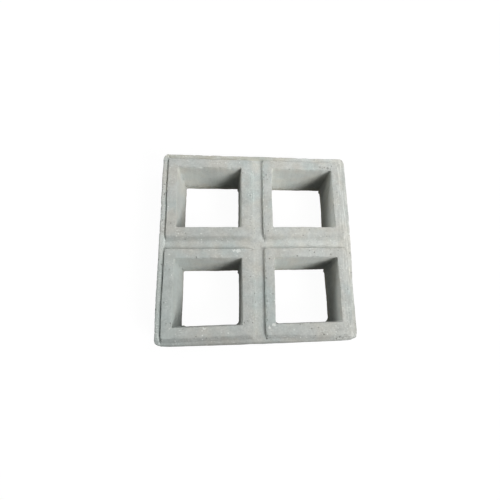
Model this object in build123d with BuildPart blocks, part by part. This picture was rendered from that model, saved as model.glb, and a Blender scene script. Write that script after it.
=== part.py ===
"""Square concrete ventilation block with four openings, cast in one piece.

The block lies on its plain back. Its face carries one raised rim round each opening. The low ground
between the rims is a cross-shaped channel, and round them it is a narrow ledge.
Millimetres, +Z up. The origin is the centre of the back, so X and Y run along the square's sides.
"""
import os
from math import atan2, degrees

from build123d import *

# The block as a whole
BLOCK_SIDE = 200.0  # side of the square
BLOCK_DEPTH = 50.0  # from the back to the top of the rims
BLOCK_CORNER = 6.0  # radius of the four upright corners
LEDGE_ARRIS = 1.5  # softened edge where the ledge meets the sides
BACK_ARRIS = 0.8  # narrow flat on the edges of the back, struck off with a trowel

# The openings narrow towards the back: the draft that lets the mould's cores come out
MOUTH_SIDE = 66.0  # side of the opening on the face
THROAT_SIDE = 59.0  # side of the opening on the back
WALL_CORNER = 1.5  # radius of the opening's four inner corners

# The raised rims, whose flanks slope down to the channel and the ledge
LAND_WIDTH = 9.8  # flat top of a rim, from its opening to its flank
CHANNEL_WIDTH = 13.0  # from the top of one rim to the top of the next
RIM_RELIEF = 4.5  # height of the rims above the channel
RIM_CORNER = 2.5  # radius of the rim top's outer corners
FLANK_RUN = 2.6  # how far a flank leans out on its way down
FLANK_FOOT = 0.8  # radius of the hollow where a flank meets the channel
RIM_ARRIS = 0.9  # softened edges of the rim top, round the land and round the mouth

rim_side = MOUTH_SIDE + 2 * LAND_WIDTH
foot_side = rim_side + 2 * FLANK_RUN
cell_pitch = rim_side + CHANNEL_WIDTH
channel_level = BLOCK_DEPTH - RIM_RELIEF
flank_lean = degrees(atan2(FLANK_RUN, RIM_RELIEF))
wall_draft = degrees(atan2((MOUTH_SIDE - THROAT_SIDE) / 2, BLOCK_DEPTH))
LEVEL_SLACK = 0.01  # room for rounding when heights are compared


def edges_at(part, level):
    """The edges of a part that lie flat at one height."""
    return part.edges().filter_by(lambda e: abs(e.bounding_box().min.Z - level) < LEVEL_SLACK
                                  and abs(e.bounding_box().max.Z - level) < LEVEL_SLACK)


def on_outline(edge):
    """Tell whether an edge runs along the block's own outline, outside every rim."""
    reach = (cell_pitch + foot_side + BLOCK_SIDE) / 4
    return max(abs(edge.center().X), abs(edge.center().Y)) > reach


def climbs_through(shape):
    """Tell whether a face or an edge runs the whole depth of the block, as only those of an opening do."""
    return shape.bounding_box().size.Z > BLOCK_DEPTH - LEVEL_SLACK


with BuildPart() as block:
    # The slab reaches up to the floor of the channel
    with BuildSketch():
        RectangleRounded(BLOCK_SIDE, BLOCK_SIDE, BLOCK_CORNER)
    extrude(amount=channel_level)

    # The rims stand on the slab, and their flanks lean out below the lands
    with BuildSketch(Plane.XY.offset(channel_level)):
        with GridLocations(cell_pitch, cell_pitch, 2, 2):
            RectangleRounded(rim_side, rim_side, RIM_CORNER)
    extrude(amount=RIM_RELIEF)
    flanks = block.faces().filter_by(lambda f: channel_level < f.center().Z < BLOCK_DEPTH - LEVEL_SLACK)
    draft(flanks, Plane.XY.offset(BLOCK_DEPTH), flank_lean)

    # The channel's floor meets the flanks in a hollow and the sides in a softened edge
    floor_edges = edges_at(block, channel_level)
    fillet(floor_edges.filter_by(lambda e: not on_outline(e)), radius=FLANK_FOOT)
    floor_edges = edges_at(block, channel_level)
    fillet(floor_edges.filter_by(on_outline), radius=LEDGE_ARRIS)

    # The openings are cut through straight, then their walls lean in towards the back
    with BuildSketch(Plane.XY.offset(BLOCK_DEPTH)):
        with GridLocations(cell_pitch, cell_pitch, 2, 2):
            Rectangle(MOUTH_SIDE, MOUTH_SIDE)
    extrude(amount=-BLOCK_DEPTH, mode=Mode.SUBTRACT)
    walls = block.faces().filter_by(climbs_through)
    draft(walls, Plane.XY.offset(BLOCK_DEPTH), wall_draft)
    fillet(block.edges().filter_by(climbs_through), radius=WALL_CORNER)

    # The rim tops have softened edges round the land and the mouth, and the back has struck-off ones
    fillet(edges_at(block, BLOCK_DEPTH), radius=RIM_ARRIS)
    chamfer(edges_at(block, 0), length=BACK_ARRIS)

block.part.label = "vent_block"
os.makedirs("parts", exist_ok=True)
export_step(block.part, "parts/vent_block.step")

print("volume cm3:", round(block.part.volume / 1000, 1))
print("box:", block.part.bounding_box())
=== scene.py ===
"""A square concrete ventilation block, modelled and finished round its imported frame.

One quarter of the block is modelled first: a slab with one rim and one opening, cut into small faces.
It is mirrored into the whole block, which is then made as uneven and as worn as a real casting.
Sizes are named in millimetres and turned to metres by one function.
"""
from functools import partial
from math import cos, radians, sin

import bmesh
import bpy
import numpy as np
from bpy.props import FloatProperty, FloatVectorProperty, PointerProperty
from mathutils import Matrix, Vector


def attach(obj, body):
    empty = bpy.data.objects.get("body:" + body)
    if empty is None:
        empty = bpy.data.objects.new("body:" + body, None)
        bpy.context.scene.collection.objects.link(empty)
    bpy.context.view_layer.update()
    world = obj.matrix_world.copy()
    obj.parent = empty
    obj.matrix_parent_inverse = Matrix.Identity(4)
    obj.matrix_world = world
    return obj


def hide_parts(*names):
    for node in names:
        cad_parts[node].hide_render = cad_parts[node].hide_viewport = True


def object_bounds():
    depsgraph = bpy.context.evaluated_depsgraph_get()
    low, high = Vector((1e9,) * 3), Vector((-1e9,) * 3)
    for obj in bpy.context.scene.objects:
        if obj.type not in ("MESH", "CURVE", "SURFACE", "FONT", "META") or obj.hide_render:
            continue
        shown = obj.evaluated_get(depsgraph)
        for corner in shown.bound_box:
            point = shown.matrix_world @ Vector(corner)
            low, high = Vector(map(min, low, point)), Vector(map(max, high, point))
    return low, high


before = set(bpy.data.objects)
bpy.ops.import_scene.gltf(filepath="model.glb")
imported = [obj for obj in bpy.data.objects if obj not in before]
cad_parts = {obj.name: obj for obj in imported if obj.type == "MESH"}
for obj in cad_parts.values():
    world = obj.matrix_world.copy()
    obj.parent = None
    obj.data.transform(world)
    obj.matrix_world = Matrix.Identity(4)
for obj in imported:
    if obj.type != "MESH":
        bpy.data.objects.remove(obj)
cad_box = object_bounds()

bl_info = {
    "name": "Concrete ventilation block",
    "version": (1, 0, 0),
    "blender": (4, 5, 0),
    "location": "3D View > Sidebar > Masonry",
    "description": "Casts a square concrete screen block with four openings and lights it on a pale floor",
    "category": "Add Mesh",
}

NODE = "vent_block"
WHITE = "#FFFFFF"


def mm(value):
    """A length in millimetres as Blender's metres."""
    return value / 1000


def linear(hex_colour):
    """An sRGB hex colour as linear red, green, blue and alpha."""
    out = []
    for start in (1, 3, 5):
        c = int(hex_colour[start:start + 2], 16) / 255
        out.append(c / 12.92 if c <= 0.04045 else ((c + 0.055) / 1.055) ** 2.4)
    return (*out, 1.0)


SAME = mm(0.02)  # lengths that differ by less than this count as the same

# Ranges of the Z of a face's normal that tell upright faces from the sloped flanks, and both from level ones
UPRIGHT = (0.0, 0.3)
SLOPED = (0.3, 0.9)
LEVEL = 0.999

# Where the camera stood over the block, and how its picture was framed
CAMERA_PLACE = (mm(-21.16), mm(-101.37), mm(410.69))
CAMERA_TURN = (radians(15.572), radians(-7.885), radians(-2.431))
CAMERA_LENS = 26.434
CAMERA_SENSOR = 36.0
CAMERA_SHIFT = (-0.08138, -0.01165)


def length(name, description, default):
    """A property that holds a length, with its default in millimetres."""
    return FloatProperty(name=name, description=description, default=mm(default), min=0,
                         unit="LENGTH", precision=4)


def power(name, description, default):
    """A property that holds the power of a lamp, with its default in watts."""
    return FloatProperty(name=name, description=description, default=default, min=0, unit="POWER")


def colour(name, description, default):
    """A property that holds a colour, with its default in sRGB hex."""
    return FloatVectorProperty(name=name, description=description, default=linear(default), size=4,
                               subtype="COLOR", min=0, max=1)


class BlockSizes(bpy.types.PropertyGroup):
    """Sizes of the cast block."""

    corner: length("Corner", "Radius of the four upright corners before they wear", 6.0)
    mouth: length("Mouth", "Side of an opening on the face", 66.0)
    throat: length("Throat", "Side of an opening on the back", 59.0)
    wall_corner: length("Wall corner", "Radius of an opening's four inner corners", 1.5)
    land: length("Land", "Flat top of a rim, from its opening to its flank", 9.8)
    channel: length("Channel", "From the top of one rim to the top of the next", 13.0)
    relief: length("Relief", "Height of the rims above the channel", 4.5)
    rim_corner: length("Rim corner", "Radius of a rim top's outer corners", 2.5)
    flank: length("Flank run", "How far a flank leans out on its way down", 2.6)
    flank_foot: length("Flank foot", "Hollow where a flank meets the channel", 0.8)
    rim_arris: length("Rim arris", "Softened edges of a rim top", 0.9)
    ledge_arris: length("Ledge arris", "Softened edge where the ledge meets the sides", 1.5)
    back_arris: length("Back arris", "Narrow flat on the edges of the back", 0.8)
    facet: length("Face size", "Size of the small faces that carry the relief", 1.15)


class ConcreteLook(bpy.types.PropertyGroup):
    """Colours of the concrete."""

    paste: colour("Cement paste", "Main colour of the dry cement skin", "#BDC0BC")
    sand: colour("Sand", "Where the sand shows through the skin", "#C0C0B9")
    dense: colour("Dense skin", "Where the skin is smooth and bluish green", "#B4BCB9")
    pit: colour("Pit", "Inside of the pinholes", "#6E6F68")
    scar: colour("Scar", "Fresh break where an edge has chipped", "#E4E7E2")
    stain: colour("Stain", "Mould oil and earth along the back edges", "#A79C7C")


class StageLook(bpy.types.PropertyGroup):
    """Floor and light."""

    floor: colour("Floor", "Colour of the floor as the block sees it", "#404040")
    key: power("Key light", "Power of the broad soft light from the near right", 65.5)
    high: power("High light", "Power of the soft light high on the right", 8.4)
    low: power("Low light", "Power of the low light from behind on the left", 6.4)
    sky: FloatProperty(name="Sky light", description="Strength of the even light from all round",
                       default=0.05, min=0)


class Layout:
    """Places along X or Y of the quarter block, from the block's middle, and heights."""

    def __init__(self, s):
        rim = s.mouth + 2 * s.land
        self.half = (cad_box[1][0] - cad_box[0][0]) / 2
        self.top = cad_box[1][2]
        self.low = self.top - s.relief
        self.middle = (rim + s.channel) / 2
        self.foot = self.span(rim + 2 * s.flank)
        self.rim = self.span(rim)
        self.mouth = self.span(s.mouth)
        self.throat = self.span(s.throat)
        self.whole = (0.0, self.half)

    def span(self, side):
        """Where a square of this side, centred on the opening, begins and ends."""
        return (self.middle - side / 2, self.middle + side / 2)


def add_node(tree, kind, inputs=(), **settings):
    """Add a shader node, set its settings, and set or link its inputs.

    A list fills the inputs in order, and a dict fills those that it names or numbers. A node given as an
    input is linked by its first output.
    """
    node = tree.nodes.new("ShaderNode" + kind)
    for name, value in settings.items():
        setattr(node, name, value)
    for name, value in inputs.items() if isinstance(inputs, dict) else enumerate(inputs):
        if isinstance(value, bpy.types.Node):
            value = value.outputs[0]
        if isinstance(value, bpy.types.NodeSocket):
            tree.links.new(value, node.inputs[name])
        else:
            node.inputs[name].default_value = value
    return node


def near(a, b):
    """Tell whether two lengths are the same."""
    return abs(a - b) < SAME


def pick(kind, test):
    """In edit mode, select just the verts, edges or faces for which the test holds."""
    mesh = bpy.context.object.data
    bpy.ops.mesh.select_mode(type={"verts": "VERT", "edges": "EDGE", "faces": "FACE"}[kind])
    bpy.ops.mesh.select_all(action="DESELECT")
    shape = bmesh.from_edit_mesh(mesh)
    chosen = [item for item in getattr(shape, kind) if test(item)]
    if not chosen:
        raise RuntimeError(f"no {kind} found for the next step")
    for item in chosen:
        item.select_set(True)
    bmesh.update_edit_mesh(mesh)


def spans(face, level, span):
    """Tell whether a level face is just the square that spans the same range in X and Y."""
    xs, ys, zs = zip(*(v.co for v in face.verts))
    return (len(xs) == 4 and near(min(zs), level) and near(max(zs), level)
            and all(near(min(c), span[0]) and near(max(c), span[1]) for c in (xs, ys)))


def inset_square(level, old, new, rise=0.0):
    """Inset the square face that spans old to one that spans new, raised above it."""
    pick("faces", lambda f: spans(f, level, old))
    width = new[0] - old[0]
    bpy.ops.mesh.inset(thickness=width, depth=rise, use_even_offset=True)
    # The inset is as wide on all four sides, so the two far sides are moved on to where they belong
    reached = old[1] - width
    for axis in (0, 1):
        if near(reached, new[1]):
            continue
        pick("verts", lambda v: near(v.co[axis], reached) and near(v.co.z, level + rise))
        bpy.ops.transform.translate(value=[new[1] - reached if i == axis else 0.0 for i in range(3)])


def on_square(edge, level, span):
    """Tell whether a level edge is a side of the square that spans the same range in X and Y."""
    ends = [v.co for v in edge.verts]
    inside = all(span[0] - SAME < c[i] < span[1] + SAME for c in ends for i in (0, 1))
    flat = all(near(c.z, level) for c in ends)
    return inside and flat and any(all(near(c[i], line) for c in ends) for i in (0, 1) for line in span)


def quarter_slab(at, relief):
    """One quarter of the block with its rim and opening, and no faces on the block's middle planes."""
    bpy.ops.object.select_all(action="DESELECT")
    bpy.ops.mesh.primitive_cube_add(size=1, location=(at.half / 2, at.half / 2, at.low / 2),
                                    scale=(at.half, at.half, at.low))
    bpy.ops.object.transform_apply(location=True, rotation=True, scale=True)
    bpy.ops.object.mode_set(mode="EDIT")
    pick("faces", lambda f: any(all(near(v.co[i], 0) for v in f.verts) for i in (0, 1)))
    bpy.ops.mesh.delete(type="ONLY_FACE")

    # The top steps in to the flank's foot, up to the rim and in to the mouth, and the back to the throat
    inset_square(at.low, at.whole, at.foot)
    inset_square(at.low, at.foot, at.rim, rise=relief)
    inset_square(at.top, at.rim, at.mouth)
    inset_square(0.0, at.whole, at.throat)
    pick("faces", lambda f: spans(f, at.top, at.mouth) or spans(f, 0.0, at.throat))
    bpy.ops.mesh.delete(type="ONLY_FACE")
    pick("edges", lambda e: on_square(e, at.top, at.mouth) or on_square(e, 0.0, at.throat))
    bpy.ops.mesh.bridge_edge_loops()


def bevel(width, segments):
    """Bevel the selected edges: one segment makes a flat, and more make a round."""
    bpy.ops.mesh.bevel(offset_type="OFFSET", offset=width, segments=segments, profile=0.5,
                       affect="EDGES", clamp_overlap=False, loop_slide=True)


def at_corner(point, level, span):
    """Tell whether a point is a corner of the square that spans the same range in X and Y."""
    return near(point.z, level) and all(near(point[i], span[0]) or near(point[i], span[1]) for i in (0, 1))


def climbs(edge, low_level, low_span, level, span):
    """Tell whether an edge climbs from a corner of one square to a corner of another."""
    low, high = sorted((v.co for v in edge.verts), key=lambda c: c.z)
    return at_corner(low, low_level, low_span) and at_corner(high, level, span)


def crease(edge, level, tilt):
    """Tell whether an edge at a level joins a level face to one whose normal's Z lies in a range."""
    if len(edge.link_faces) != 2 or not all(near(v.co.z, level) for v in edge.verts):
        return False
    steep, flat = sorted(abs(f.normal.z) for f in edge.link_faces)
    return flat > LEVEL and tilt[0] <= steep <= tilt[1]


def soften_quarter(at, s):
    """Round the upright corners, then the level edges."""
    pick("edges", lambda e: climbs(e, at.low, at.foot, at.top, at.rim))
    bevel(s.rim_corner, 5)
    pick("edges", lambda e: climbs(e, 0.0, at.throat, at.top, at.mouth))
    bevel(s.wall_corner, 3)
    pick("edges", lambda e: all(near(v.co.x, at.half) and near(v.co.y, at.half) for v in e.verts))
    bevel(s.corner, 8)
    pick("edges", lambda e: crease(e, at.top, (UPRIGHT[0], SLOPED[1])))
    bevel(s.rim_arris, 3)
    pick("edges", lambda e: crease(e, at.low, SLOPED))
    bevel(s.flank_foot, 2)
    pick("edges", lambda e: crease(e, at.low, UPRIGHT))
    bevel(s.ledge_arris, 3)
    pick("edges", lambda e: crease(e, 0.0, UPRIGHT))
    bevel(s.back_arris, 1)


def between(lines, size):
    """Evenly spaced places between neighbouring lines, about a size apart, without the lines."""
    out = []
    for a, b in zip(lines, lines[1:]):
        count = max(1, round((b - a) / size))
        out += [a + (b - a) * i / count for i in range(1, count)]
    return out


def cut_faces(at, s):
    """Cut the quarter by upright and level planes into small faces."""
    plan = sorted([0.0, at.foot[0] - s.flank_foot, at.rim[0] + s.rim_arris, at.mouth[0] - s.rim_arris,
                   at.throat[0] + s.back_arris, at.throat[1] - s.back_arris, at.mouth[1] + s.rim_arris,
                   at.rim[1] - s.rim_arris, at.foot[1] + s.flank_foot, at.half - s.ledge_arris])
    heights = [s.back_arris, at.low - s.ledge_arris, at.top - s.rim_arris]
    cuts = (between(plan, s.facet), between(plan, s.facet), between(heights, 2 * s.facet))
    for axis, places in enumerate(cuts):
        # Faces that look along the cut's own axis stay whole, so that the rows don't crowd together
        square_on = 0.3 if axis == 2 else 0.95
        pick("faces", lambda f: abs(f.normal[axis]) > square_on)
        bpy.ops.mesh.hide(unselected=False)
        way = [1.0 if i == axis else 0.0 for i in range(3)]
        for place in places:
            bpy.ops.mesh.select_all(action="SELECT")
            bpy.ops.mesh.bisect(plane_co=[place * w for w in way], plane_no=way, threshold=1e-7)
        bpy.ops.mesh.reveal(select=False)


def apply_modifier(kind, **settings):
    """Add a modifier to the active object, set it and apply it."""
    obj = bpy.context.object
    bpy.ops.object.modifier_add(type=kind)
    modifier = obj.modifiers[-1]
    for name, value in settings.items():
        setattr(modifier, name, value)
    bpy.ops.object.modifier_apply(modifier=modifier.name)


def mirror_block():
    """Mirror the quarter over both middle planes into the whole block, and close and clean its mesh."""
    apply_modifier("MIRROR", use_axis=(True, True, False), use_mirror_merge=True, merge_threshold=mm(0.01))
    bpy.ops.object.mode_set(mode="EDIT")
    bpy.ops.mesh.select_all(action="SELECT")
    bpy.ops.mesh.remove_doubles(threshold=mm(0.004))
    # The four quarters meet on the upright middle axis, where edges without faces are left over
    bpy.ops.mesh.select_all(action="SELECT")
    bpy.ops.mesh.delete_loose()
    bpy.ops.mesh.select_all(action="SELECT")
    bpy.ops.mesh.normals_make_consistent(inside=False)
    bpy.ops.object.mode_set(mode="OBJECT")


# How the real casting strays from its mould's drawing. A flank's first number is how far it starts inside
# the edge of the land, and its second is how far out it ends.
LEFT_FLANK = (mm(0.3), mm(1.0))  # flanks that face left stayed steep
RIGHT_FLANK = (mm(1.4), mm(3.8))  # flanks that face right slumped
NEAR_FLANK = (mm(1.3), mm(4.6))  # and so did those that face the near side
FAR_FLANK = (mm(0.4), mm(1.5))
THROAT_ROUND = mm(5.5)  # radius to which the inner corners have filled up at the back
LEDGE_LIFT = mm(2.0)  # how much higher the left ledge was filled than the others
DEEP = mm(30)  # height below which the outer sides stay as drawn

# How much wider the near land is at its right end: place along Y and extra width, in mm. It starts right of
# the middle and grows over a run.
WIDER_LAND = ((-100, 0), (-96.5, 1.8), (-92.1, 1.8), (-84, 0))
WIDER_START = mm(5)
WIDER_RUN = mm(60)

# Which side of the middle each upright corner lies on along X and Y, and how far its rounding reaches along
# them, in mm
CORNERS = ((-1, 1, 6.2, 6.2), (1, 1, 6.2, 6.2), (-1, -1, 8.5, 8.0), (1, -1, 12.0, 9.5))

# How far each side runs in from the drawn square: place along the side and depth, in mm
LEFT_INSET = ((-100, 1.6), (-40, 1.4), (40, 1.3), (100, 1.5))
RIGHT_INSET = ((-100, 2.2), (-85, 2.6), (-60, 2.8), (-38, 2.8), (-20, 1.3), (0, 0.9), (25, 0.6), (100, 0.5))
NEAR_INSET = ((-100, 1.4), (-60, 0.7), (-20, 0.4), (0, 0.5), (30, 0.1), (100, 0))
FAR_INSET = ((-100, 0.1), (40, 0), (60, 0.3), (80, 0.2), (90, 0), (100, 0))

# Section of the near side as drawn and as it came out: distance from the middle and height, in mm
NEAR_DRAWN = ((0, 50), (90.8, 50), (92.1, 49.6), (96.7, 45.5), (100, 45.5))
NEAR_SLOPE = ((0, 50), (90.8, 50), (92.5, 49.5), (96, 47), (99, 43.5), (100, 42.5))

# Waviness: height of the waves and their length
WAVE = (mm(0.28), mm(60))  # long waves of the upright faces
DENT = (mm(0.12), mm(14))  # short ones on top of them
SAG = (mm(0.18), mm(70))  # long waves of the level faces, all of them downwards
SIDE_WAVE = 0.4  # share of the long waves that reaches the block's sides
SIDE_BAND = mm(6)  # distance from a side over which they grow to their whole height
BACK_BAND = mm(12)  # height above the back over which the sag sets in
WAVE_COUNT = 14  # waves of different ways and lengths that add up to one rough pattern
WAVE_LENGTHS = (0.7, 1.6)  # their lengths, in shares of the one asked for


def step(t):
    """A smooth rise from 0 to 1 while t goes from 0 to 1."""
    t = np.clip(t, 0, 1)
    return t * t * (3 - 2 * t)


def fade(distance, width):
    """How far a place has come past an edge that is blurred over a width, from 0 to 1."""
    return step(distance / width)


def follow(c, knots):
    """Straight pieces through knots of place and value, both in millimetres."""
    places, values = zip(*knots)
    return np.interp(c, [mm(p) for p in places], [mm(v) for v in values])


def restep_flanks(c, at, s, lower, upper):
    """Give the flanks that face down the axis and those that face up it their own start and end."""
    land, foot = s.rim_arris, s.flank_foot
    old = [-at.half, -at.foot[1] - foot, land - at.rim[1], -at.rim[0] - land, foot - at.foot[0],
           at.foot[0] - foot, at.rim[0] + land, at.rim[1] - land, at.foot[1] + foot, at.half]
    new = [-at.half, -at.rim[1] - lower[1], lower[0] - at.rim[1], -at.rim[0] - upper[0],
           upper[1] - at.rim[0], at.rim[0] - lower[1], at.rim[0] + lower[0], at.rim[1] - upper[0],
           at.rim[1] + upper[1], at.half]
    return np.interp(c, old, new)


def reround_corner(x, y, sx, sy, at, drawn, reach_x, reach_y):
    """Turn one upright corner from its drawn radius to an ellipse of two reaches along X and Y."""
    room_x, room_y = at.half - reach_x, at.half - reach_y
    u, v = sx * x - room_x, sy * y - room_y
    inside = (u > 0) & (v > 0)
    u, v = np.where(inside, u, 1.0), np.where(inside, v, 1.0)
    # How far the drawn outline and the new one lie along the ray from the corner's middle
    ray = np.hypot(u, v)
    du, dv = u / ray, v / ray
    square = np.minimum(reach_x / du, reach_y / dv)
    ax, ay = reach_x - drawn, reach_y - drawn
    along = ax * du + ay * dv
    arc = along + np.sqrt(np.maximum(along ** 2 - (ax ** 2 + ay ** 2 - drawn ** 2), 0))
    on_arc = (arc * du > ax) & (arc * dv > ay)
    old = np.where(on_arc, arc, square)
    new = 1 / np.sqrt((du / reach_x) ** 2 + (dv / reach_y) ** 2)
    shrink = np.where(inside, new / old, 1.0)
    x = np.where(inside, sx * (room_x + u * shrink), x)
    y = np.where(inside, sy * (room_y + v * shrink), y)
    return x, y


def fill_throat_corners(x, y, z, at):
    """Round the openings' inner corners more and more towards the back."""
    depth = np.clip(1 - z / at.top, 0, 1)
    wide, narrow = (at.mouth[1] - at.mouth[0]) / 2, (at.throat[1] - at.throat[0]) / 2
    half = wide * (1 - depth) + narrow * depth
    radius = THROAT_ROUND * depth ** 0.7 + mm(0.01)
    reach = half + mm(0.2)
    for sx in (-1, 1):
        for sy in (-1, 1):
            u, v = sx * x - at.middle, sy * y - at.middle
            a, b = np.abs(u) - (half - radius), np.abs(v) - (half - radius)
            gap = np.hypot(a, b)
            pull = (a > 0) & (b > 0) & (gap > radius) & (np.abs(u) < reach) & (np.abs(v) < reach)
            scale = np.where(pull, radius / np.maximum(gap, 1e-9), 1.0)
            x = np.where(pull, sx * (at.middle + np.sign(u) * (half - radius + a * scale)), x)
            y = np.where(pull, sy * (at.middle + np.sign(v) * (half - radius + b * scale)), y)
    return x, y


def ripple(points, wavelength, seed):
    """A smooth random wave over places, about -1 to 1, the same on each run."""
    chance = np.random.default_rng(seed)
    total = np.zeros(len(points))
    for _ in range(WAVE_COUNT):
        way = chance.normal(size=3)
        way *= 2 * np.pi / (np.linalg.norm(way) * wavelength * chance.uniform(*WAVE_LENGTHS))
        total += np.sin(points @ way + chance.uniform(0, 2 * np.pi))
    # So many sines rarely add up to more than 1.6 times their usual sum
    return total / np.sqrt(WAVE_COUNT / 2) / 1.6


def read_places(mesh):
    """The places of a mesh's verts as rows of X, Y and Z."""
    flat = np.empty(len(mesh.vertices) * 3)
    mesh.vertices.foreach_get("co", flat)
    return flat.reshape(-1, 3)


def place_inside_box(mesh, at, x, y, z):
    """Move a mesh's verts to new places, held inside the drawn box."""
    x, y, z = np.clip(x, -at.half, at.half), np.clip(y, -at.half, at.half), np.clip(z, 0, at.top)
    mesh.vertices.foreach_set("co", np.stack([x, y, z], 1).ravel())
    mesh.update()


def past_rims(c, at):
    """How far a place lies beyond the rims' outer edges, from 0 there to 1 at the block's side."""
    return np.clip((np.abs(c) - at.rim[1]) / (at.half - at.rim[1]), 0, 1)


def stray_from_mould(piece, at, s):
    """Make the block as uneven as the real casting, all inside its drawn box."""
    mesh = piece.data
    x, y, z = read_places(mesh).T.copy()

    x = restep_flanks(x, at, s, LEFT_FLANK, RIGHT_FLANK)
    y = restep_flanks(y, at, s, NEAR_FLANK, FAR_FLANK)
    x, y = fill_throat_corners(x, y, z, at)

    # The near land grows wider towards the right, and its flank goes with it
    y = y - fade(x - WIDER_START, WIDER_RUN) * follow(y, WIDER_LAND)

    for sx, sy, reach_x, reach_y in CORNERS:
        x, y = reround_corner(x, y, sx, sy, at, s.corner, mm(reach_x), mm(reach_y))

    # The sides run in a little from the drawn square, more here and less there
    inward_x = np.where(x < 0, follow(y, LEFT_INSET), -follow(y, RIGHT_INSET))
    inward_y = np.where(y < 0, follow(x, NEAR_INSET), -follow(x, FAR_INSET))
    x = x + past_rims(x, at) * inward_x
    y = y + past_rims(y, at) * inward_y

    # On the near side flank and ledge are one slope that falls from the land to the block's side
    ratio = (follow(-y, NEAR_SLOPE) - DEEP) / (follow(-y, NEAR_DRAWN) - DEEP)
    ratio = np.where(z > at.low + mm(0.1), ratio, np.minimum(ratio, 1))
    z = np.where(z > DEEP, DEEP + (z - DEEP) * ratio, z)

    # The left ledge rises, and the upper part of the block's side with it
    lift = fade(-x - at.rim[1] - mm(0.6), mm(0.8)) * (z > DEEP) * (z < at.low + mm(0.6))
    z = z + LEDGE_LIFT * lift * (z - DEEP) / (at.low - DEEP)

    # Nothing in it is quite straight, but the sides wave less than the inside, and the back stays level
    now = np.stack([x, y, z], 1)
    inside = np.clip((at.half - np.maximum(np.abs(x), np.abs(y))) / SIDE_BAND, 0, 1)
    share = SIDE_WAVE + (1 - SIDE_WAVE) * inside
    above_back = fade(z, BACK_BAND)
    x = x + WAVE[0] * ripple(now, WAVE[1], seed=11) * share + DENT[0] * ripple(now, DENT[1], seed=14)
    y = y + WAVE[0] * ripple(now, WAVE[1], seed=12) * share + DENT[0] * ripple(now, DENT[1], seed=15)
    z = z + SAG[0] * (ripple(now, SAG[1], seed=13) - 1) * above_back

    place_inside_box(mesh, at, x, y, z)


WEIGHT_LEVELS = 20  # steps in which a vertex group's weights are stored
SHARP_TURN = radians(12)  # two faces that turn outwards by more than this meet in an edge that wears
NEXT_ROW = 0.45  # how much of an edge's wear reaches the verts beside it


def weigh(piece, name, weights):
    """Store a weight for each vert in a named group, for the modifiers that wear the block."""
    group = piece.vertex_groups.new(name=name)
    levels = np.round(np.clip(weights, 0, 1) * WEIGHT_LEVELS).astype(int)
    for level in range(1, WEIGHT_LEVELS + 1):
        group.add(np.flatnonzero(levels == level).tolist(), level / WEIGHT_LEVELS, "REPLACE")


def arris_weight(piece):
    """One on every sharp outward edge, and less on the verts beside it."""
    shape = bmesh.new()
    shape.from_mesh(piece.data)
    sharp = np.zeros(len(shape.verts))
    for edge in shape.edges:
        if len(edge.link_faces) == 2 and edge.is_convex:
            if edge.link_faces[0].normal.angle(edge.link_faces[1].normal, 0.0) > SHARP_TURN:
                for v in edge.verts:
                    sharp[v.index] = 1.0
    spread = sharp.copy()
    for vert in shape.verts:
        if sharp[vert.index] == 0 and any(sharp[e.other_vert(vert).index] for e in vert.link_edges):
            spread[vert.index] = NEXT_ROW
    shape.free()
    return spread


def grit(name, size, **settings):
    """A cloudy texture for wearing a surface, with its grain size in metres."""
    texture = bpy.data.textures.new(name, "CLOUDS")
    texture.noise_scale = size
    texture.use_clamp = True
    for key, value in settings.items():
        setattr(texture, key, value)
    return texture


def wear(texture, depth, group=""):
    """Sink the surface by about a depth where a texture is bright."""
    apply_modifier("DISPLACE", texture=texture, texture_coords="LOCAL", mid_level=0.0, strength=-depth,
                   direction="NORMAL", vertex_group=group)


def store(piece, name, values):
    """Store one number for each vert, for the material to read."""
    attribute = piece.data.attributes.new(name, "FLOAT", "POINT")
    attribute.data.foreach_set("value", np.clip(values, 0, 1).astype(np.float32))


def wall_shade_weight(right, far, depth, mouth, near_right):
    """How much painted shade an opening's walls get: most in the far right corner, then down the right wall
    and low in the near left corner.

    Places are measured from the opening's middle, and depth goes from 0 on the face to 1 at the back. The
    near right opening gets more painted shade down its right wall than the others.
    """
    # Measured over both walls, the far right corner's painted shade reaches 5 mm on the face and 45 mm at
    # the back
    far_corner = fade(right + far - 2 * mouth + mm(5) + mm(40) * depth, mm(20)) * step(12 * depth)
    # The near left corner's painted shade has no width on the face and reaches 26 mm at the back
    near_corner = fade(-right - far - 2 * mouth + mm(26) * depth, mm(18)) * step(3 * depth)
    # Walls lean in by up to 4 mm, so a right wall is all that lies within 6 mm of its mouth
    right_wall = fade(right - mouth + mm(6), mm(3))
    # Painted shade grows down the right walls towards the back
    right_wall = right_wall * np.where(near_right, step(1.5 * depth), 0.8 * step(1.25 * depth - 0.1))
    return np.maximum(np.maximum(far_corner, 0.8 * near_corner), right_wall)


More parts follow.
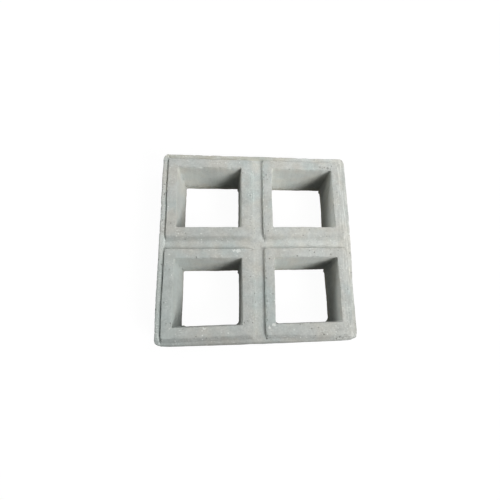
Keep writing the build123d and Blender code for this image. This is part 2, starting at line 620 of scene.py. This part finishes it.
def mark_surfaces(piece, at):
    """Mark by place what is flank, opening wall and ledge, and where light and shade are painted, while the
    block is still as drawn.
    """
    x, y, z = read_places(piece.data).T
    # Places from the middle of the nearest opening: to the right, to the far side, and outwards
    right = x - np.where(x < 0, -at.middle, at.middle)
    far = y - np.where(y < 0, -at.middle, at.middle)
    out = np.maximum(np.abs(right), np.abs(far))
    mouth, rim = at.mouth[1] - at.middle, at.rim[1] - at.middle
    face = z > DEEP
    along_x = np.abs(right) > np.abs(far)
    looks_right, looks_left = along_x & (right > 0), along_x & (right <= 0)
    looks_far, looks_near = ~along_x & (far >= 0), ~along_x & (far < 0)

    wall = (out < mouth + mm(0.05)) & (z < at.top - mm(0.5))
    store(piece, "wall", wall.astype(float))
    # Painted shade in the openings' far right and near left corners and down their right walls
    store(piece, "damp", wall * wall_shade_weight(right, far, 1 - z / at.top, mouth, (x > 0) & (y < 0)))

    # Painted shade darkens the flanks that slumped, most of all those that face the near side, and painted
    # light brightens the flanks that stayed steep. The mark fades in at the edge of the land and out at the
    # flank's foot.
    flank = face * fade(out - rim + mm(1.0), mm(1.5)) * fade(rim + mm(3.8) - out, mm(2.4))
    soil = flank * np.select([looks_near, looks_right], [1.0, 0.75], 0.2)
    # The near ledge gets the same painted shade
    near_ledge = face * fade(-y - at.rim[1] + mm(0.8), mm(2))
    store(piece, "soil", np.maximum(soil, near_ledge))
    # Painted light on the steep flanks, most on those that face left
    store(piece, "bloom", flank * np.select([looks_left, looks_far], [1.0, 0.5], 0.0))

    # The channel's floor lies within 12 mm of a middle plane, and starts 2 mm beyond the rims
    channel = fade(mm(12) - np.minimum(np.abs(x), np.abs(y)), mm(4))
    store(piece, "floor", face * channel * fade(out - rim - mm(2), mm(2)))
    store(piece, "far_ledge", face * fade(y - at.foot[1], mm(1.5)))

    # Coarse grit shows on the left ledge and at the near right corner
    left_ledge = face * fade(-x - at.rim[1] - mm(0.3), mm(1.5))
    near_right_corner = face * fade(x - mm(66), mm(12)) * fade(-y - mm(90), mm(3))
    store(piece, "rough", np.maximum(left_ledge, near_right_corner))
    weigh(piece, "left_ledge", np.maximum(left_ledge, 0.6 * near_right_corner))
    weigh(piece, "far_mouths", (np.abs(out - mouth) < mm(1.0)) & looks_far & (z > at.top - mm(1.5)))


def wear_block(piece, at):
    """Roughen the faces, crumble and chip the edges, nick the far mouths and pit the left ledge."""
    weigh(piece, "arrises", arris_weight(piece))
    wear(grit("skin", mm(6), noise_depth=2), mm(0.12))
    wear(grit("crumb", mm(3), noise_depth=1), mm(0.3), "arrises")
    # High contrast at a low level leaves a few deep marks and the rest untouched
    wear(grit("chips", mm(6), noise_depth=1, contrast=4, intensity=0.05), mm(0.45), "arrises")
    wear(grit("nicks", mm(2.6), noise_depth=0, contrast=4, intensity=0.2), mm(0.8), "far_mouths")
    wear(grit("pocks", mm(2.4), noise_depth=1, contrast=3, intensity=0.45), mm(0.4), "left_ledge")
    place_inside_box(piece.data, at, *read_places(piece.data).T)


class MASONRY_OT_cast_block(bpy.types.Operator):
    """Model the concrete block round its frame, wear it and give it its concrete"""

    bl_idname = "masonry.cast_block"
    bl_label = "Cast the block"

    def execute(self, context):
        s = context.scene.block_sizes
        at = Layout(s)
        quarter_slab(at, s.relief)
        soften_quarter(at, s)
        cut_faces(at, s)
        bpy.ops.object.mode_set(mode="OBJECT")
        mirror_block()
        piece = bpy.context.object
        piece.name = NODE + "_cast"
        piece.data.name = piece.name
        mark_surfaces(piece, at)
        stray_from_mould(piece, at, s)
        wear_block(piece, at)
        bpy.ops.object.shade_smooth_by_angle(angle=radians(50))
        piece.data.materials.append(concrete(context.scene.concrete_look, at))
        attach(piece, "root")
        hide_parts(NODE)
        return {"FINISHED"}


# Names under which mark_surfaces stores how much of each surface a vert has, for the concrete to read
MARKS = ("wall", "damp", "soil", "bloom", "floor", "rough", "far_ledge")

# A patch that dried palest: its middle, the radius inside which it is palest, and the one where it ends
FAIR_PATCH = (mm(52), mm(13))
FAIR_REACH = (mm(15), mm(42))

# How far from the middle the near side's slope begins, in millimetres
SLOPE_START = 93.0

# Single marks on the face that the photo shows: X, Y and radius in millimetres
PALE_SCARS = (
    (-20.4, -8.3, 2.8), (-24.5, -8.0, 1.8), (-52.4, -83.8, 1.7), (13.7, -82.4, 2.0), (9.0, -85.0, 1.3),
    (71.0, -97.6, 1.1), (74.0, -96.2, 1.1), (77.2, -98.0, 1.2), (80.0, -96.6, 1.0), (84.0, -97.6, 1.1),
    (88.5, -95.4, 1.3), (21.0, 62.0, 1.2), (20.3, 58.5, 1.0),
)
DARK_PITS = (
    (-67.0, 82.4, 1.0), (-43.2, 81.9, 1.1), (-38.0, 82.2, 0.8), (78.1, 85.3, 1.5), (49.9, -87.5, 0.8),
    (14.0, -5.3, 1.2), (62.0, -93.5, 0.9), (58.0, -94.5, 0.8), (75.6, -98.2, 0.9), (78.6, -96.4, 0.8),
    (82.0, -98.0, 0.8), (-60.0, -91.0, 0.8), (35.5, 83.0, 0.9), (72.0, 84.4, 0.9), (74.6, 86.2, 0.9),
    (80.6, 84.2, 1.0), (69.5, 86.4, 0.7), (83.0, 88.0, 0.8),
)


class Patterns:
    """Patterns of real sizes for one material, on Object coordinates and on the marks that are stored."""

    def __init__(self, tree, at):
        self.add = partial(add_node, tree)
        self.at = at
        self.place = self.add("TexCoord").outputs["Object"]
        self.x, self.y, self.z = self.add("SeparateXYZ", [self.place]).outputs
        self.on = {name: self.add("Attribute", attribute_name=name).outputs["Fac"] for name in MARKS}

    def blotches(self, size, low, high, to_low=0.0, to_high=1.0, detail=2.0, roughness=0.55, where=None):
        """Noise with blotches of about a size, of which one range is mapped to another."""
        where = self.place if where is None else where
        noise = self.add("TexNoise", {"Vector": where, "Scale": 1 / size, "Detail": detail,
                                      "Roughness": roughness})
        return self.add("MapRange", [noise, low, high, to_low, to_high])

    def streaks(self, lengths, low, high, to_low, to_high, roughness=0.6):
        """Blotches drawn out to these lengths along X, Y and Z."""
        drawn_out = self.add("Mapping", {"Vector": self.place, "Scale": [1 / each for each in lengths]})
        return self.blotches(1.0, low, high, to_low, to_high, roughness=roughness, where=drawn_out)

    def grains(self, size, radius, share, crowd):
        """Round grains with soft edges in a share of cells of a size, and in more where they crowd."""
        cell = self.add("TexVoronoi", {"Vector": self.place, "Scale": 1 / size}).outputs
        chance = self.add("SeparateColor", [cell["Color"]])
        chance = self.add("Math", [crowd, 0.6, chance], operation="MULTIPLY_ADD")
        kept = self.add("Math", [chance, 1 - share], operation="GREATER_THAN")
        return self.add("MapRange", [cell["Distance"], radius / size, 0.5 * radius / size, 0.0, kept])

    def spots(self, marks, raggedness):
        """One where any of the single marks lies, with ragged outlines."""
        ragged = self.blotches(mm(1.6), 0.3, 0.7, -raggedness, raggedness, detail=1.0)
        total = 0.0
        for x, y, radius in marks:
            # The near slope falls as far as it runs out
            point = (mm(x), mm(y), self.at.top - mm(max(0, -y - SLOPE_START)))
            away = self.add("VectorMath", [self.place, point], operation="DISTANCE").outputs["Value"]
            away = self.add("Math", [away, ragged], operation="ADD")
            spot = self.add("MapRange", [away, mm(radius), mm(0.6 * radius)])
            total = self.add("Math", [total, spot], operation="MAXIMUM")
        return total

    def tinted(self, base, layers):
        """A colour with tints laid over it in their order, each by its own share."""
        for share, tint in layers:
            base = self.add("Mix", {0: share, 6: base, 7: tint}, data_type="RGBA").outputs[2]
        return base


def mixed_skin(p, look):
    """The mix: neutral paste, faintly pinkish sand and bluish green dense skin in blotches of 15 to 60 mm.

    The walls have less of the dense skin. The near left end has most, a bluish tint that is also painted
    shade.
    """
    sandy = p.blotches(mm(21), 0.42, 0.62, detail=3.0)
    less = p.add("MapRange", [p.on["wall"], 0.0, 1.0, 1.0, 0.4])
    dense = p.add("Math", [p.blotches(mm(33), 0.48, 0.66, detail=3.0), less], operation="MULTIPLY")
    # Bluish tint and painted shade at the near left end
    near_left = p.add("MapRange", [p.x, mm(-60), mm(-88), 0.0, 0.8])
    near_left = p.add("MapRange", [p.y, mm(15), mm(-25), 0.0, near_left])
    return p.tinted(look.paste, ((sandy, look.sand), (dense, look.dense), (near_left, look.dense)))


def cast_and_light_tones(p):
    """Factors from casting, drying and painted light that make the colour darker below 1 and paler above it.
    """
    # Painted light: the colour grows paler towards the far right and darker towards the near left, which
    # gives the face its slow change of tone
    painted_light_across = p.add("MapRange", [p.x, -p.at.half, p.at.half, 0.93, 1.06])
    along = p.add("MapRange", [p.y, -p.at.half, p.at.half, 0.91, 1.07])
    clouds = p.blotches(mm(55), 0.35, 0.65, 0.97, 1.03)
    patch = (*FAIR_PATCH, p.at.top)
    fair = p.add("VectorMath", [p.place, patch], operation="DISTANCE").outputs["Value"]
    fair = p.add("MapRange", [fair, FAIR_REACH[1], FAIR_REACH[0], 1.0, 1.07])

    # Mottle and sand grain, less of both on the walls. The grain is finer than a pixel of the picture, so it
    # is drawn at 1.8 mm to show at all.
    mottle = p.blotches(mm(8), 0.3, 0.7, -0.08, 0.08, detail=3.0, roughness=0.6)
    grain = p.blotches(mm(1.8), 0.3, 0.7, -0.08, 0.08, roughness=0.6)
    uneven = p.add("Math", [mottle, grain], operation="ADD")
    calm = p.add("MapRange", [p.on["wall"], 0.0, 1.0, 1.0, 0.35])
    uneven = p.add("Math", [uneven, calm, 1.0], operation="MULTIPLY_ADD")

    # Streaks from the pull of the mould: along Z in the openings, along Y on the right frame
    drawn = p.streaks((mm(3), mm(3), mm(35)), 0.3, 0.7, 0.96, 1.04, roughness=0.5)
    drawn = p.add("Mix", {0: p.on["wall"], 2: 1.0, 3: drawn})
    pulled = p.streaks((mm(1.5), mm(18), mm(18)), 0.45, 0.65, -0.04, 0.2)
    frame_side = p.add("MapRange", [p.x, mm(78), mm(90)])
    pulled = p.add("Math", [pulled, frame_side, 1.0], operation="MULTIPLY_ADD")
    return [painted_light_across, along, clouds, fair, uneven, drawn, pulled]


def surface_tones(p):
    """Factors for what lies on each kind of surface and for painted light and shade: 1 where it is missing,
    and its own where it is full.
    """
    # Painted shade darkens the slumped flanks and the near side, most of all on the left
    painted_flank_shade = p.add("Math", [p.on["soil"], p.blotches(mm(5), 0.2, 0.6, 0.75, 1.0)], operation="MULTIPLY")
    left = p.add("MapRange", [p.x, mm(-30), mm(40), 1.0, 0.12])
    painted_flank_shade = p.add("Math", [painted_flank_shade, left], operation="MULTIPLY")
    # The channel's floor and the far ledge kept their pale skin
    skin = p.add("Math", [p.on["floor"], p.on["far_ledge"]], operation="MAXIMUM")
    # Painted light brightens the steep flanks, unevenly so that their dark lines look dotted
    painted_flank_light = p.add("Math", [p.on["bloom"], p.blotches(mm(3.5), 0.35, 0.6, 0.35, 1.0)], operation="MULTIPLY")
    # Painted shade darkens the openings' corners and right walls to 0.38 and the slumped flanks to 0.83, and
    # painted light brightens the steep flanks up to 1.85
    full = ((p.on["wall"], 1.27), (painted_flank_shade, 0.83), (skin, 1.11), (p.on["rough"], 1.1), (painted_flank_light, 1.85),
            (p.on["damp"], 0.38))
    return [p.add("MapRange", [share, 0.0, 1.0, 1.0, factor]) for share, factor in full]


def stains(p):
    """Mould oil, brown along the back edges of the openings, and earth, yellowish on the far ledge."""
    height = p.add("Math", [p.z, p.blotches(mm(4), 0.3, 0.7, mm(-5), mm(5))], operation="ADD")
    oil = p.add("MapRange", [height, mm(9), mm(1), 0.0, 0.35])
    oil = p.add("Math", [oil, p.on["wall"]], operation="MULTIPLY")
    earth = p.add("MapRange", [p.x, mm(45), mm(10), 0.0, p.on["far_ledge"]])
    earth = p.add("Math", [earth, p.blotches(mm(9), 0.35, 0.6, 0.1, 0.35)], operation="MULTIPLY")
    return oil, earth


def grit_marks(p):
    """Pale and dark grains, more of them on the rough left ledge and at the near right corner."""
    crowd = p.add("Math", [p.on["rough"], p.blotches(mm(12), 0.46, 0.62, 0.0, 0.75)], operation="MAXIMUM")
    pale = p.grains(mm(3.0), mm(0.95), 0.12, crowd)
    pale = p.add("Math", [pale, p.blotches(mm(17), 0.4, 0.6, 0.4, 1.0, detail=1.0)], operation="MULTIPLY")
    dark = p.grains(mm(3.6), mm(0.95), 0.06, crowd)
    dark = p.add("Math", [dark, p.blotches(mm(14), 0.4, 0.6, 0.3, 1.0, detail=1.0)], operation="MULTIPLY")
    # Scuffs: short pale scratches where the grains crowd
    scuff = p.streaks((mm(4), mm(1.2), mm(4)), 0.57, 0.66, 0.0, 0.75)
    scuff = p.add("Math", [scuff, crowd], operation="MULTIPLY")
    pale = p.add("Math", [pale, scuff], operation="MAXIMUM")
    # The walls and the channel's floor are smoother
    smooth = p.add("Math", [p.on["wall"], p.on["floor"]], operation="MAXIMUM")
    smooth = p.add("MapRange", [smooth, 0.0, 1.0, 1.0, 0.3])
    return [p.add("Math", [grain, smooth], operation="MULTIPLY") for grain in (pale, dark)]


def concrete(look, at):
    """Pressed grey concrete: a dry mix of sand and cement rammed into a mould.

    It is matt all over, with a thin cement skin that is blotched where sand shows through, with pinholes,
    and with pale scuffs along its edges. Shade is painted into the openings and onto the slumped flanks, and
    light onto the steep flanks and over the face.
    """
    material = bpy.data.materials.new("pressed_grey_concrete")
    material.use_nodes = True
    tree = material.node_tree
    tree.nodes.clear()
    p = Patterns(tree, at)

    tone = 1.0
    for factor in cast_and_light_tones(p) + surface_tones(p):
        tone = p.add("Math", [tone, factor], operation="MULTIPLY")
    base = p.add("VectorMath", {0: mixed_skin(p, look), "Scale": tone}, operation="SCALE")

    oil, earth = stains(p)
    pale, dark = grit_marks(p)
    scarred = p.add("Math", [pale, p.spots(PALE_SCARS, mm(0.9))], operation="MAXIMUM")
    pitted = p.add("Math", [dark, p.spots(DARK_PITS, mm(0.4))], operation="MAXIMUM")
    scar = p.add("Math", [scarred, 0.7], operation="MULTIPLY")
    pit = p.add("Math", [pitted, 0.65], operation="MULTIPLY")
    base = p.tinted(base, ((oil, look.stain), (earth, look.stain), (scar, look.scar), (pit, look.pit)))

    # The grit stands out over soft lumps, the pits lie low and the pale grains stand proud
    height = p.blotches(mm(1.8), 0.0, 1.0, roughness=0.6)
    for share, rise in ((p.blotches(mm(7), 0.0, 1.0), 2.0), (pitted, -2.0), (pale, 0.8)):
        height = p.add("Math", [share, rise, height], operation="MULTIPLY_ADD")
    bump = p.add("Bump", {"Height": height, "Distance": mm(0.3), "Strength": 0.8})
    shader = p.add("BsdfPrincipled", {"Roughness": 0.9, "Base Color": base, "Normal": bump})
    p.add("OutputMaterial", {"Surface": shader})
    return material


class MASONRY_OT_set_stage(bpy.types.Operator):
    """Lay the pale floor, and set the lights and the camera"""

    bl_idname = "masonry.set_stage"
    bl_label = "Set the stage"

    def execute(self, context):
        look = context.scene.stage_look
        lay_floor(look)
        light_block(context.scene, look)
        set_camera(context.scene)
        return {"FINISHED"}


FLOOR_SIZE = 30.0  # side of the floor, so wide that its edge is far from the block
FLOOR_GLOW = 0.96  # how bright the camera sees the floor, where 1 is white
FLOOR_SHADE = 0.06  # how much light it gives back on top of that, which leaves the block's faint shadow


def seen_rays(add):
    """A factor that is one for what the camera sees, straight or through gloss and glass."""
    path = add("LightPath").outputs
    gloss = add("Math", [path["Is Camera Ray"], path["Is Glossy Ray"]], operation="MAXIMUM")
    return add("Math", [gloss, path["Is Transmission Ray"]], operation="MAXIMUM")


def lay_floor(look):
    """A wide floor: plain grey to the block, and near white with a faint shadow to the camera."""
    bpy.ops.object.select_all(action="DESELECT")
    bpy.ops.mesh.primitive_plane_add(size=FLOOR_SIZE)
    floor = bpy.context.object
    floor.name = "floor"
    material = bpy.data.materials.new("pale_matt_floor")
    material.use_nodes = True
    tree = material.node_tree
    tree.nodes.clear()
    add = partial(add_node, tree)
    plain = add("BsdfDiffuse", {"Color": look.floor})
    glow = add("Emission", {"Color": linear(WHITE), "Strength": FLOOR_GLOW})
    shadow = add("BsdfDiffuse", {"Color": (FLOOR_SHADE, FLOOR_SHADE, FLOOR_SHADE, 1.0)})
    seen = add("AddShader", [glow, shadow])
    add("OutputMaterial", {"Surface": add("MixShader", [seen_rays(add), plain, seen])})
    floor.data.materials.append(material)


def soft_lamp(name, azimuth, elevation, distance, size, watts):
    """A round soft lamp that looks at the block from a direction in degrees, measured from +X over +Y."""
    lift = cos(radians(elevation))
    way = Vector((lift * cos(radians(azimuth)), lift * sin(radians(azimuth)), sin(radians(elevation))))
    turn = way.to_track_quat("Z", "Y").to_euler()
    bpy.ops.object.light_add(type="AREA", location=way * distance, rotation=turn)
    lamp = bpy.context.object
    lamp.name = name
    lamp.data.shape = "DISK"
    lamp.data.size = size
    lamp.data.energy = watts
    lamp.visible_camera = False


def light_block(scene, look):
    """A broad light from the near right, a high one, a low one from behind on the left, and a dim sky."""
    soft_lamp("key_light", azimuth=-42, elevation=41, distance=3.0, size=1.5, watts=look.key)
    soft_lamp("high_light", azimuth=20, elevation=62, distance=1.5, size=0.8, watts=look.high)
    soft_lamp("low_light", azimuth=135, elevation=15, distance=1.2, size=0.5, watts=look.low)

    world = bpy.data.worlds.new("even_sky")
    scene.world = world
    world.use_nodes = True
    tree = world.node_tree
    tree.nodes.clear()
    add = partial(add_node, tree)
    sky = add("Background", {"Color": linear(WHITE), "Strength": look.sky})
    white = add("Background", {"Color": linear(WHITE), "Strength": 1.0})
    add("OutputWorld", {"Surface": add("MixShader", [seen_rays(add), sky, white])})


def set_camera(scene):
    """The camera stands over the block's near side and looks down on its face."""
    bpy.ops.object.camera_add(location=CAMERA_PLACE, rotation=CAMERA_TURN)
    camera = bpy.context.object
    camera.name = "camera"
    camera.data.sensor_width = CAMERA_SENSOR
    camera.data.lens = CAMERA_LENS
    camera.data.shift_x, camera.data.shift_y = CAMERA_SHIFT
    camera.data.clip_start = mm(10)
    scene.camera = camera
    scene.view_settings.view_transform = "Standard"


class MASONRY_PT_block(bpy.types.Panel):
    """The block and its stage in the sidebar."""

    bl_idname = "MASONRY_PT_block"
    bl_label = "Ventilation block"
    bl_space_type = "VIEW_3D"
    bl_region_type = "UI"
    bl_category = "Masonry"

    def draw(self, context):
        for group in (context.scene.block_sizes, context.scene.concrete_look, context.scene.stage_look):
            column = self.layout.column(align=True)
            for name in group.__annotations__:
                column.prop(group, name)
        self.layout.operator(MASONRY_OT_cast_block.bl_idname)
        self.layout.operator(MASONRY_OT_set_stage.bl_idname)


CLASSES = (BlockSizes, ConcreteLook, StageLook,
           MASONRY_OT_cast_block, MASONRY_OT_set_stage, MASONRY_PT_block)


def register():
    """Register the classes and hang the settings on the scene."""
    for cls in CLASSES:
        bpy.utils.register_class(cls)
    bpy.types.Scene.block_sizes = PointerProperty(type=BlockSizes)
    bpy.types.Scene.concrete_look = PointerProperty(type=ConcreteLook)
    bpy.types.Scene.stage_look = PointerProperty(type=StageLook)


def unregister():
    """Take the settings and the classes away again."""
    del bpy.types.Scene.stage_look
    del bpy.types.Scene.concrete_look
    del bpy.types.Scene.block_sizes
    for cls in reversed(CLASSES):
        bpy.utils.unregister_class(cls)


def main():
    """Build the block and its stage."""
    register()
    bpy.ops.masonry.cast_block()
    bpy.ops.masonry.set_stage()


if __name__ == "__main__":
    main()
